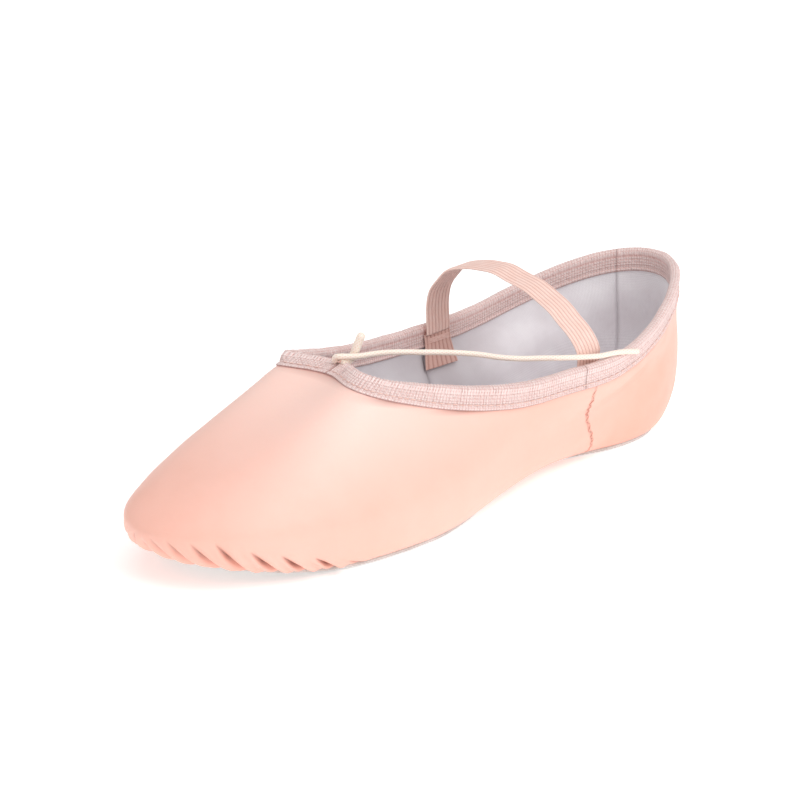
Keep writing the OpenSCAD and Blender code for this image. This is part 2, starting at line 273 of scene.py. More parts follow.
def pleats(q, v):
    """Relief of the toe's pleats in mm, and the painted shade in each fold, from 0 to 1."""
    run = run_at(station_of(q))
    relief, shadow = np.zeros_like(run), np.zeros_like(run)
    rng = np.random.default_rng(5)
    for i, (top, depth) in enumerate(zip(PLEAT_TOPS, PLEAT_DEPTHS)):
        centre = PLEAT_PITCH*i + PLEAT_GROWTH*i*i + rng.uniform(-0.5, 0.5)*(i > 0)
        centre -= PLEAT_SHIFT if i < REAR_PLEAT else PLEAT_SHIFT_REAR
        top += rng.uniform(-0.03, 0.03)
        drop = np.clip(top - v, 0, 2)
        open_up = np.clip(drop/0.30, 0, 1)**0.7
        offset = run - (centre + PLEAT_LEAN*(1 - np.exp(-drop/0.32)))
        fold = np.where(offset < 0, np.exp(-(np.abs(offset)/(0.35 + 0.45*open_up))**1.4),
                        np.exp(-(np.abs(offset)/(0.35 + 0.75*open_up))**1.2))
        relief -= depth*open_up*fold
        puff = 0.9*np.exp(-((offset - 2.9)/1.5)**2) + 0.5*np.exp(-((offset + 2.0)/1.2)**2)
        relief += 0.62*depth*open_up*puff*smooth(0.02, 0.25, v)
        tip = np.exp(-((drop - 0.16)/0.17)**2) + 0.35*open_up
        shadow = np.maximum(shadow, np.clip(tip, 0, 1)*open_up**0.8*min(1, 0.35 + 0.12*i)
                            * np.exp(-((offset - 0.2)/(0.45 + (0.08*i + 0.1)*open_up))**2))
    fade = 1 - smooth(PLEATS_END, PLEATS_END + 8, run)
    return relief*fade*smooth(-0.45, 0.02, v), shadow*fade*smooth(-0.2, 0.1, v)


# The near side seam's foot is moved by LEAN_FOOT to the heel, and its top lies LEAN_TOP nearer
# the toe than its foot, in stations. The leather around it follows over LEAN_REACH.
LEAN_FOOT = 0.018
LEAN_TOP = 0.060
LEAN_REACH = 0.13


def seam_lean(q, v):
    """Stations moved so that the near side seam stands upright."""
    near = np.exp(-((np.mod(q, 2) - NEAR_SEAM)/LEAN_REACH)**2)
    return q + near*(LEAN_FOOT - LEAN_TOP*smooth(0.2, 1.8, v))


def leather_relief(q, v, p):
    """Height of the leather's own relief over the plain surface, in mm."""
    soft = 0.30*wave(p, 46, 3) + 0.10*wave(p, 17, 4)
    soft *= smooth(0.1, 0.8, v)*(1 - 0.8*smooth(1.75, 2.0, v))
    qm = np.mod(q, 2)
    seam = np.zeros_like(soft)
    for spot in (NEAR_SEAM, BACK_SEAM):
        gap = np.abs(qm - spot)*SIDE_RUN
        seam -= 0.06*np.exp(-(gap/0.35)**2) - 0.05*np.exp(-((gap - 1.8)/1.0)**2)
    seam *= smooth(0.0, 0.5, v)
    tuck = 0.22*np.exp(-((v - band_start(q) + 0.035)/0.04)**2)
    return soft + seam + tuck + pleats(q, v)[0]


# ---------------------------------------------------------------- mesh helpers
collection = bpy.context.scene.collection


def add_mesh(name, verts, faces, fabric=None):
    """Object from points in mm. fabric is a per-point coordinate in mm for the weave."""
    mesh = bpy.data.meshes.new(name)
    verts = np.asarray(verts, float).reshape(-1, 3)*MM
    mesh.from_pydata(verts.tolist(), [], [list(map(int, f)) for f in faces])
    mesh.validate()
    if fabric is not None:
        layer = mesh.attributes.new("fabric", "FLOAT_VECTOR", "POINT")
        layer.data.foreach_set("vector", np.asarray(fabric, float).reshape(-1))
    mesh.polygons.foreach_set("use_smooth", [True]*len(mesh.polygons))
    mesh.update()
    obj = bpy.data.objects.new(name, mesh)
    collection.objects.link(obj)
    return obj


def grid_faces(n, m, wrap_n=False, wrap_m=False, start=0, turned=False):
    """Four-sided faces of an n by m grid of points."""
    i = np.arange(n if wrap_n else n - 1)
    j = np.arange(m if wrap_m else m - 1)
    i, j = np.meshgrid(i, j, indexing="ij")
    a = i*m + j
    b = i*m + (j + 1) % m
    c = ((i + 1) % n)*m + (j + 1) % m
    d = ((i + 1) % n)*m + j
    faces = np.stack([a, d, c, b] if not turned else [a, b, c, d], -1).reshape(-1, 4) + start
    return faces.tolist()


def closed_skin(name, outer, inner, fabric):
    """Closed shell from two grids of the same size, with the same weave on both faces."""
    n, m = outer.shape[:2]
    verts = np.concatenate([outer.reshape(-1, 3), inner.reshape(-1, 3)])
    off = n*m
    faces = grid_faces(n, m) + grid_faces(n, m, start=off, turned=True)
    for i in range(n - 1):
        a, b = i*m, (i + 1)*m
        faces.append([a, a + off, b + off, b])
        a, b = i*m + m - 1, (i + 1)*m + m - 1
        faces.append([a, b, b + off, a + off])
    for j in range(m - 1):
        a, b = j, j + 1
        faces.append([a, b, b + off, a + off])
        a, b = (n - 1)*m + j, (n - 1)*m + j + 1
        faces.append([a, a + off, b + off, b])
    weave = fabric.reshape(-1, 3)
    return add_mesh(name, verts, faces, np.concatenate([weave, weave]))


def circles(sides, u, w):
    """Unit circles of a number of sides in the planes of two lists of vectors."""
    angle = np.linspace(0, 2*math.pi, sides, endpoint=False)
    return np.cos(angle)[None, :, None]*u[:, None] + np.sin(angle)[None, :, None]*w[:, None]


def tube_faces(n, m, start=0):
    """Faces of a closed tube of n rings of m points."""
    faces = grid_faces(n, m, wrap_m=True, start=start)
    faces.append([start + j for j in range(m)])
    faces.append([start + (n - 1)*m + j for j in range(m - 1, -1, -1)])
    return faces


def frames(path):
    """Tangent and two side vectors along a path, turned as little as possible."""
    t = unit(np.gradient(path, axis=0))
    u = np.zeros_like(t)
    first = np.cross(t[0], [0.3, 0, 1])
    u[0] = first/np.linalg.norm(first)
    for i in range(1, len(path)):
        w = u[i - 1] - t[i]*(u[i - 1] @ t[i])
        u[i] = w/np.linalg.norm(w)
    return t, u, np.cross(t, u)


def spline(route, step):
    """Catmull-Rom curve through a route's points, evenly spaced at about a step in mm."""
    p = np.asarray(route, float)
    p = np.concatenate([[2*p[0] - p[1]], p, [2*p[-1] - p[-2]]])
    t = np.linspace(0, 1, 24, endpoint=False)[:, None]
    out = []
    for a, b, c, d in zip(p, p[1:], p[2:], p[3:]):
        out.append(0.5*(2*b + (c - a)*t + (2*a - 5*b + 4*c - d)*t**2
                        + (3*b - a - 3*c + d)*t**3))
    out = np.concatenate(out + [p[-2:-1]])
    run = run_along(out)
    n = max(3, int(round(run[-1]/step)) + 1)
    at = np.linspace(0, run[-1], n)
    return np.stack([np.interp(at, run, out[:, k]) for k in range(3)], -1)


# ---------------------------------------------------------------- materials
def colour(r, g, b):
    """Linear colour from sRGB values of 0 to 255."""
    def one(c):
        c = c/255
        return c/12.92 if c <= 0.04045 else ((c + 0.055)/1.055)**2.4
    return (one(r), one(g), one(b), 1.0)


class Finish:
    """A material whose nodes are added one call at a time. Sizes are in mm."""

    def __init__(self, name, roughness=0.6, **sockets):
        self.mat = bpy.data.materials.new(name)
        self.mat.use_nodes = True
        self.tree = self.mat.node_tree
        self.shader = self.tree.nodes["Principled BSDF"]
        self.shader.inputs["Roughness"].default_value = roughness
        for key, value in sockets.items():
            self.shader.inputs[key.replace("_", " ")].default_value = value
        self.place = self.add("ShaderNodeTexCoord").outputs["Object"]
        self.normal = None

    def add(self, kind, **settings):
        node = self.tree.nodes.new(kind)
        for key, value in settings.items():
            setattr(node, key, value)
        return node

    def link(self, a, b):
        self.tree.links.new(a, b)

    def value(self, operation, a, b=0.5, c=0.5):
        node = self.add("ShaderNodeMath", operation=operation)
        for socket, item in zip(node.inputs, (a, b, c)):
            if isinstance(item, (int, float)):
                socket.default_value = item
            else:
                self.link(item, socket)
        return node.outputs[0]

    def number(self, name):
        """A per-point number that shade() stored."""
        return self.add("ShaderNodeAttribute", attribute_name=name).outputs["Fac"]

    def fabric(self):
        """The two coordinates on the flat cloth, in mm."""
        split = self.add("ShaderNodeSeparateXYZ")
        self.link(self.add("ShaderNodeAttribute", attribute_name="fabric").outputs["Vector"],
                  split.inputs[0])
        return split.outputs[0], split.outputs[1]

    def noise(self, size, detail=3, rough=0.55):
        node = self.add("ShaderNodeTexNoise")
        node.inputs["Scale"].default_value = 1/(size*MM)
        node.inputs["Detail"].default_value = detail
        node.inputs["Roughness"].default_value = rough
        self.link(self.place, node.inputs["Vector"])
        return node.outputs["Fac"]

    def cells(self, size, feature="F1"):
        node = self.add("ShaderNodeTexVoronoi", feature=feature)
        node.inputs["Scale"].default_value = 1/(size*MM)
        self.link(self.place, node.inputs["Vector"])
        return node.outputs["Distance"]

    def ramp(self, fac, *stops):
        node = self.add("ShaderNodeValToRGB")
        ramp = node.color_ramp
        while len(ramp.elements) < len(stops):
            ramp.elements.new(0.5)
        for element, (at, shade) in zip(ramp.elements, stops):
            element.position = at
            element.color = shade
        self.link(fac, node.inputs[0])
        return node.outputs[0]

    def span(self, fac, a, b, to_a=0.0, to_b=1.0):
        """Maps a to to_a and b to to_b in a straight line, and holds the ends."""
        node = self.add("ShaderNodeMapRange")
        self.link(fac, node.inputs["Value"])
        for key, item in (("From Min", a), ("From Max", b), ("To Min", to_a), ("To Max", to_b)):
            node.inputs[key].default_value = item
        return node.outputs[0]

    def mix(self, fac, a, b):
        node = self.add("ShaderNodeMix", data_type="RGBA")
        for socket, item in ((node.inputs[0], fac), (node.inputs[6], a), (node.inputs[7], b)):
            if isinstance(item, (int, float, tuple)):
                socket.default_value = item
            else:
                self.link(item, socket)
        return node.outputs[2]

    def bump(self, height, distance, strength=1.0):
        node = self.add("ShaderNodeBump")
        node.inputs["Distance"].default_value = distance*MM
        node.inputs["Strength"].default_value = strength
        self.link(height, node.inputs["Height"])
        if self.normal is not None:
            self.link(self.normal, node.inputs["Normal"])
        self.normal = node.outputs[0]

    def done(self, base, roughness=None):
        self.link(base, self.shader.inputs["Base Color"])
        if roughness is not None:
            self.link(roughness, self.shader.inputs["Roughness"])
        if self.normal is not None:
            self.link(self.normal, self.shader.inputs["Normal"])
        return self.mat

    def threads(self, across, along_size, sharp):
        """Height of a plain weave: 0 in its gaps and 1 on its threads."""
        round_shoe, up_side = self.fabric()
        u = self.value("MULTIPLY", round_shoe, math.pi/across)
        v = self.value("MULTIPLY", up_side, math.pi/along_size)
        warp = self.value("ABSOLUTE", self.value("SINE", u))
        weft = self.value("ABSOLUTE", self.value("SINE", v))
        over = self.value("SINE", self.value("ADD", u, v))
        mixed = self.value("MULTIPLY", warp, weft)
        highest = self.value("MAXIMUM", mixed, self.value("MULTIPLY", over, 0.4))
        return self.value("POWER", highest, sharp)


def make_leather():
    f = Finish("leather", 0.42, Specular_IOR_Level=0.5, Coat_Weight=0.16, Coat_Roughness=0.30,
               Subsurface_Weight=0.06, Subsurface_Scale=0.002)
    f.shader.inputs["Subsurface Radius"].default_value = (1.0, 0.45, 0.3)
    wide = f.noise(34, 2)
    fine = f.noise(5, 4)
    tone = f.ramp(f.value("ADD", f.value("MULTIPLY", wide, 0.75), f.value("MULTIPLY", fine, 0.25)),
                  (0.36, colour(243, 179, 159)), (0.5, colour(247, 184, 165)),
                  (0.66, colour(250, 189, 171)))
    # Painted light and shade: paler where the leather is painted lit, on top round the throat, and
    # darker at the tip and the heel.
    tone = f.mix(f.number("painted_light"), tone, colour(252, 212, 200))
    pores = f.cells(0.55)
    tone = f.mix(f.span(pores, 0.0, 0.35, 0.07, 0.0), tone, colour(222, 160, 138))
    # Painted shade: darkens the leather towards deep brown in the pleats' folds, along the seams'
    # grooves and under the tape's lower edge.
    painted_shade = f.number("painted_shade")
    tone = f.mix(f.value("MULTIPLY", painted_shade, 0.95), tone, colour(132, 56, 44))
    f.bump(f.value("ADD", f.cells(0.7, "SMOOTH_F1"), f.noise(0.35, 2)), 0.03, 0.6)
    f.bump(f.noise(2.2, 3), 0.06, 0.5)
    rough = f.span(f.noise(8, 3), 0.3, 0.7, 0.40, 0.52)
    return f.done(tone, rough)


def make_tape():
    f = Finish("tape", 0.78, Sheen_Weight=0.25, Sheen_Roughness=0.5)
    weave = f.threads(0.45, 0.40, 0.8)
    patch = f.noise(2.4, 3)
    # Painted shade in the weave's gaps, lighter on its threads.
    tone = f.ramp(weave, (0.0, colour(204, 150, 144)), (0.3, colour(240, 203, 197)),
                  (0.9, colour(254, 230, 226)))
    speck = f.noise(0.55, 2, 0.7)
    tone = f.mix(f.span(speck, 0.54, 0.70, 0.0, 0.4), tone, colour(196, 146, 140))
    # Painted highlights on the tops of the knit's loops, and painted shade in the holes between
    # them.
    loops = f.threads(1.05, 0.95, 1.0)
    tone = f.mix(f.span(loops, 0.55, 0.95, 0.0, 0.6), tone, colour(255, 246, 243))
    tone = f.mix(f.span(loops, 0.05, 0.3, 0.5, 0.0), tone, colour(206, 154, 146))
    tone = f.mix(f.span(patch, 0.35, 0.65, 0.0, 0.22), tone, colour(255, 240, 236))
    # Painted shade along the tape's lower edge, its stitch groove, its ends and the troughs of its
    # gathers.
    fold = f.number("painted_shade")
    tone = f.mix(f.value("MULTIPLY", fold, 0.75), tone, colour(160, 104, 98))
    f.bump(weave, 0.12, 1.0)
    f.bump(loops, 0.16, 1.0)
    return f.done(tone)


def make_cotton():
    f = Finish("cotton", 0.88, Sheen_Weight=0.15, Sheen_Roughness=0.6)
    weave = f.threads(0.5, 0.5, 0.7)
    tone = f.ramp(f.noise(18, 4), (0.3, colour(234, 228, 231)), (0.5, colour(244, 240, 243)),
                  (0.7, colour(251, 249, 251)))
    # Painted shade in the weave's gaps.
    tone = f.mix(f.span(weave, 0.0, 0.6, 0.30, 0.0), tone, colour(190, 181, 187))
    # Painted shade at the lining pieces' seam folds and inside the shoe round y = 30 mm.
    tone = f.mix(f.number("painted_shade"), tone, colour(150, 140, 146))
    f.bump(weave, 0.06, 0.8)
    f.bump(f.noise(6, 3), 0.25, 0.5)
    return f.done(tone)


def make_elastic():
    f = Finish("ribbed_elastic", 0.7, Sheen_Weight=0.3, Sheen_Roughness=0.4)
    _, lengthwise = f.fabric()
    picks = f.value("ABSOLUTE", f.value("SINE", f.value("MULTIPLY", lengthwise, math.pi/0.45)))
    painted_shade = f.number("painted_shade")
    # Painted shade in the troughs between the picks.
    tone = f.ramp(picks, (0.0, colour(234, 184, 168)), (0.6, colour(248, 209, 196)),
                  (1.0, colour(251, 219, 208)))
    tone = f.mix(f.span(f.noise(3, 3), 0.35, 0.7, 0.0, 0.3), tone, colour(252, 232, 224))
    # Painted shade between the ribs, and an even darkening on the strap's tails.
    tone = f.mix(f.value("MULTIPLY", painted_shade, 0.8), tone, colour(176, 112, 98))
    f.bump(picks, 0.06, 0.7)
    f.bump(f.noise(0.3, 2), 0.03, 0.6)
    return f.done(tone)


def make_cord():
    f = Finish("braid", 0.62, Sheen_Weight=0.25, Sheen_Roughness=0.4,
               Subsurface_Weight=0.05, Subsurface_Scale=0.001)
    round_cord, lengthwise = f.fabric()
    turn = f.value("MULTIPLY", round_cord, 2*math.pi/0.94)
    advance = f.value("MULTIPLY", lengthwise, 2*math.pi/1.5)
    # Two sets of strands wind round the cord in opposite directions.
    braid = f.value("MAXIMUM", f.value("SINE", f.value("ADD", turn, advance)),
                    f.value("SINE", f.value("SUBTRACT", turn, advance)))
    # Painted shade between the strands, painted light on their crowns.
    tone = f.ramp(f.span(braid, -0.4, 1.0), (0.0, colour(244, 218, 201)),
                  (0.5, colour(252, 236, 222)), (1.0, colour(254, 242, 230)))
    tone = f.mix(f.span(f.noise(4, 2), 0.4, 0.7, 0.0, 0.25), tone, colour(248, 224, 208))
    f.bump(braid, 0.03, 0.5)
    return f.done(tone)


def make_suede():
    f = Finish("suede", 0.95, Sheen_Weight=0.5, Sheen_Roughness=0.6)
    tone = f.ramp(f.noise(9, 5, 0.65), (0.3, colour(200, 192, 187)), (0.52, colour(219, 213, 209)),
                  (0.72, colour(230, 225, 222)))
    tone = f.mix(f.span(f.noise(0.5, 3), 0.35, 0.65, 0.0, 0.45), tone, colour(172, 160, 153))
    f.bump(f.noise(0.35, 3, 0.7), 0.12, 0.9)
    f.bump(f.noise(3, 4), 0.25, 0.6)
    return f.done(tone)


def make_thread(name, dark, light):
    f = Finish(name, 0.6, Sheen_Weight=0.2)
    tone = f.ramp(f.noise(0.6, 2), (0.3, dark), (0.7, light))
    f.bump(f.noise(0.2, 2), 0.04, 0.7)
    return f.done(tone)


def make_board():
    f = Finish("fibre_board", 0.9)
    tone = f.ramp(f.noise(1.2, 5, 0.7), (0.35, colour(134, 104, 76)), (0.65, colour(170, 138, 104)))
    f.bump(f.noise(0.5, 4, 0.7), 0.06, 0.8)
    return f.done(tone)


def make_foam():
    f = Finish("foam", 0.9, Sheen_Weight=0.1)
    tone = f.ramp(f.cells(0.6), (0.1, colour(226, 214, 190)), (0.6, colour(245, 238, 222)))
    f.bump(f.cells(0.6), 0.12, 0.8)
    return f.done(tone)


def make_floor():
    f = Finish("paper_floor", 0.9)
    f.shader.inputs["Specular IOR Level"].default_value = 0.1
    f.shader.inputs["Emission Color"].default_value = (1, 1, 1, 1)
    f.shader.inputs["Emission Strength"].default_value = 0.32
    tone = f.ramp(f.noise(120, 2), (0.3, colour(253, 253, 253)), (0.7, colour(255, 255, 255)))
    return f.done(tone)


LEATHER = make_leather()
TAPE = make_tape()
COTTON = make_cotton()
ELASTIC = make_elastic()
CORD = make_cord()
SUEDE = make_suede()
THREAD = make_thread("thread", colour(232, 186, 174), colour(250, 220, 210))
SEAM_THREAD = make_thread("seam_thread", colour(206, 140, 122), colour(232, 172, 154))
BOARD = make_board()
FOAM = make_foam()


def shade(obj, name, values):
    """Stores a per-point number that a material reads."""
    layer = obj.data.attributes.new(name, "FLOAT", "POINT")
    layer.data.foreach_set("value", np.clip(np.asarray(values, float), 0, 1).reshape(-1))


def place(obj, finish, body, slot, *nodes):
    """Gives a piece its finish and its body, and hides the CAD nodes it stands for; slot is not
    used.
    """
    obj.data.materials.append(finish)
    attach(obj, body)
    if nodes:
        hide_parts(*nodes)
    return obj


# ---------------------------------------------------------------- camera
CAMERA_AZ, CAMERA_EL = 45, 19.5    # degrees: from the near side of the toe, a little above
CAMERA_AWAY = 0.800                # metres from the target
LENS = 113.4
SHIFT_X, SHIFT_Y = -0.03, 0.01625  # they put the shoe where it is in the photo
target = Vector((0, 0, 0.025))


def way_to(az, el):
    """Direction from the target to an azimuth and elevation in degrees."""
    a, e = math.radians(az), math.radians(el)
    return Vector((math.sin(a)*math.cos(e), -math.cos(a)*math.cos(e), math.sin(e)))


camera = bpy.data.objects.new("camera", bpy.data.cameras.new("camera"))
collection.objects.link(camera)
camera.data.lens = LENS
camera.data.sensor_width = 36
camera.data.shift_x = SHIFT_X
camera.data.shift_y = SHIFT_Y
away = way_to(CAMERA_AZ, CAMERA_EL)
camera.location = target + away*CAMERA_AWAY
camera.rotation_euler = (-away).to_track_quat("-Z", "Y").to_euler()
bpy.context.scene.camera = camera


# ---------------------------------------------------------------- drawstring
LONG_ROUTE = [[-1.1, -37.2, 50.7], [-0.4, -37.8, 52.3], [1.5, -37, 52.9], [4, -32.7, 52.5],
              [5.8, -24.8, 52.1], [7.7, -18.1, 51.3], [10, -11.7, 50.3], [12.4, -5.4, 49.4],
              [14.9, 0.9, 48.3], [17.5, 7.2, 46.9], [20.3, 13.4, 45.2], [23.1, 19.6, 44],
              [26.1, 25.7, 43.4], [29.9, 31.2, 43.1], [32.7, 37.6, 42.5], [33.4, 42.2, 41.8],
              [33.7, 46.2, 41.2], [34.4, 50.8, 41.1], [35.2, 54, 41], [36, 57.4, 40.6],
              [36.1, 61.3, 39.8]]
SHORT_ROUTE = [[1.1, -36.8, 50.7], [1.3, -34.3, 50.7], [1.4, -32, 52], [2.3, -30.9, 55.5],
               [3.6, -30, 59.3]]


CORD_SIDES = 20
STUB_R = 1.35     # the short end looks thicker than the long one
STUB_BLUNT = 1.5  # length over which its tip is rounded


def cord_piece(name, path, radius, blunt=0.0):
    """Round cord along a path, with its far end rounded where blunt is above 0."""
    run = run_along(path)
    _, u, w = frames(path)
    size = np.full(len(path), radius)
    if blunt:
        left = np.clip((run[-1] - run + 0.02)/blunt, 0, 1)
        size *= np.sqrt(left*(2 - left))
    angle = np.linspace(0, 2*math.pi, CORD_SIDES, endpoint=False)
    turn = run[:, None]*2*math.pi/3.0
    relief = 0.012*np.maximum(np.cos(6*angle[None] + turn*2), np.cos(6*angle[None] - turn*2))
    r = (size[:, None]*(1 - 0.02) + relief*size[:, None])
    rings = path[:, None] + r[..., None]*circles(CORD_SIDES, u, w)
    fabric = points(angle[None]*radius, run[:, None], np.zeros((1, 1)))
    return add_mesh(name, rings.reshape(-1, 3), tube_faces(*rings.shape[:2]), fabric)


long_path = spline(LONG_ROUTE, 0.35)
short_path = spline(SHORT_ROUTE, 0.3)
long_end = place(cord_piece("drawstring_long", long_path, CORD_R), CORD, "shoe", "drawstring",
                 "drawstring_long_end")
place(cord_piece("drawstring_stub", short_path, STUB_R, STUB_BLUNT), CORD, "shoe", "drawstring",
      "drawstring_short_end")


# ---------------------------------------------------------------- leather and lining
JOINT = 0.0001         # half of the joint between the two leathers, in stations
LINING_FOLLOWS = 0.9   # share of the pleats' relief that the inner faces follow


def columns(q0, q1, fine, coarse):
    """Stations from q0 to q1, a fine step in mm apart where the toe is pleated."""
    q = np.linspace(q0, q1, 6001)
    run = run_at(station_of(q))
    step = np.abs(np.gradient(run))
    want = np.where(run < PLEATS_END, fine, coarse)
    total = np.concatenate([[0], np.cumsum(step[1:]/want[1:] + 1e-9)])
    n = int(math.ceil(total[-1])) + 1
    return np.interp(np.linspace(0, total[-1], n), total, q)


def rows(margin, turn, side):
    """Values of v for a number of rows on the margin, on the turn and on the side."""
    return np.concatenate([np.linspace(-1, 0, margin + 1)[:-1], np.linspace(0, 1, turn + 1)[:-1],
                           np.linspace(1, 2, side + 1)])


def fabric_of(q, v):
    """Coordinate in mm on the flat cloth: round the shoe and up its side."""
    run = run_at(station_of(q))
    run = np.where(np.mod(q, 2) <= 1, run, 2*SIDE_RUN - run)
    height = np.where(v < 0, v*MARGIN, np.where(v < 1, v*16, 16 + (v - 1)*32))
    return points(run, height, 0*run)


def leather_piece(name, q):
    v = rows(3, 30, 29)
    qq, vv = np.meshgrid(q, v, indexing="ij")
    flat_q, qq = qq, seam_lean(qq, vv)
    p, n = upper_point(qq, vv), outward(qq, vv)
    relief = leather_relief(qq, vv, p)
    soft = LINING_FOLLOWS*pleats(qq, vv)[0]
    outer = p + n*relief[..., None]
    inner = p + n*(np.minimum(relief, soft) - LEATHER_T)[..., None]
    obj = closed_skin(name, outer, inner, fabric_of(qq, vv))
    # Painted shade: the pleats' folds, a little along the two seams' grooves, and a line under the
    # tape's lower edge.
    dark = pleats(qq, vv)[1]
    seam = np.zeros_like(dark)
    for spot in (NEAR_SEAM, BACK_SEAM):
        seam += 0.06*np.exp(-((np.abs(np.mod(flat_q, 2) - spot)*SIDE_RUN)/0.4)**2)
    seam += 0.5*np.exp(-((vv - band_start(qq))*30/0.35)**2)
    shade(obj, "painted_shade", np.concatenate([(dark + seam).ravel(), dark.ravel()]))
    # Painted light and shade: the leather is painted palest on top, round the throat, and painted
    # darker at the tip and the heel.
    painted_lit = (0.3 + 0.7*np.exp(-((p[..., 1] + 45)/42)**2)*smooth(18, 44, p[..., 2]))
    painted_lit *= (1 - smooth(40, 75, p[..., 1]))*smooth(-128, -84, p[..., 1])
    shade(obj, "painted_light", np.concatenate([painted_lit.ravel(), painted_lit.ravel()]))
    return obj


place(leather_piece("vamp_skin", columns(BACK_SEAM + JOINT, 2 + NEAR_SEAM - JOINT, 0.29, 1.2)),
      LEATHER, "shoe", "upper_leather", "vamp_leather")
place(leather_piece("heel_skin", columns(NEAR_SEAM + JOINT, BACK_SEAM - JOINT, 1.0, 1.0)),
      LEATHER, "shoe", "upper_leather", "heel_leather")


def lining_piece(name, q, seed):
    v = rows(5, 24, 30)
    qq, vv = np.meshgrid(q, v, indexing="ij")
    p, n = upper_point(qq, vv), outward(qq, vv)
    soft = LINING_FOLLOWS*pleats(qq, vv)[0]
    slack = 0.22*wave(p, 19, seed) + 0.14*wave(p, 8, seed + 1) - 0.2
    slack *= smooth(0.2, 0.9, vv)*(1 - smooth(1.7, 1.85, vv))
    ends = np.minimum(qq - q[0], q[-1] - qq)*SIDE_RUN
    slack *= smooth(0, 7, ends)
    fold = 0.08*np.exp(-((ends - 1.8)/1.2)**2)
    outer = p + n*(soft - LEATHER_T - 0.03)[..., None]
    inner = p + n*(soft - WALL_T + np.minimum(slack, 0.05) - fold)[..., None]
    obj = closed_skin(name, outer, inner, fabric_of(qq, vv))
    # Painted shade: along the folds at each piece's ends, and a broad band inside the shoe round y
    # = 30 mm.
    dark = 0.26*np.exp(-(ends/1.3)**2) + 0.40*np.exp(-((p[..., 1] - 30)/34)**2)
    shade(obj, "painted_shade", np.concatenate([dark.ravel(), dark.ravel()]))
    return obj


for name, q0, q1, fine, seed, node in (
        ("vamp_cotton", LINING_SEAM, 2 + NEAR_SEAM, 1.1, 11, "vamp_lining"),
        ("side_cotton", BACK_SEAM, LINING_SEAM, 1.3, 21, "side_lining"),
        ("heel_cotton", NEAR_SEAM, BACK_SEAM, 1.3, 31, "heel_lining")):
    place(lining_piece(name, columns(q0, q1, fine, 1.3), seed), COTTON, "shoe", "cotton_lining",
          node)


# ---------------------------------------------------------------- binding tape
BAND_ROWS = 16
ROLL_ROWS = 14
STITCH_UP = 1.8        # height of the running stitch over the tape's lower edge
FRONT_GAP = 0.0012     # half of the slit where the tape's two ends meet
CORNER = 2 - 0.125     # where the gathered tape stands out on the far side
CORNER_BULGE = 2.4     # how far it stands out there
CORNER_REACH = 0.022   # and over which distance, in stations
GATHER_PITCH = 1.15


def frame_at(q):
    """Rim point, outward and upward directions, and the middle of the cord's casing."""
    two = np.full_like(q, 2.0)
    below = np.full_like(q, 1.93)
    rim, n = upper_point(q, two), outward(q, two)
    low, m = upper_point(q, below), outward(q, below)
    up = unit((rim - n*WALL_T/2) - (low - m*WALL_T/2))
    return rim, n, up, rim - n*WALL_T/2 + up*ROLL_IN


def tape_surface(q, depth, roll):
    """Grid of the tape's face: up the outside, over the cord and down the inside."""
    start = band_start(q)
    t = np.linspace(0, 1, BAND_ROWS)
    vv = start[:, None] + (2 - start[:, None])*t[None]
    qq = np.broadcast_to(q[:, None], vv.shape)
    p, n = upper_point(qq, vv), outward(qq, vv)
    outside = p + n*depth
    inside = (p - n*(WALL_T + depth))[:, ::-1]
    _, side, up, middle = frame_at(q)
    a = np.linspace(0, math.pi, ROLL_ROWS + 2)[1:-1]
    over = (middle[:, None] + roll*(np.cos(a)[None, :, None]*side[:, None]
                                    + np.sin(a)[None, :, None]*up[:, None]))
    return np.concatenate([outside, over, inside], 1)


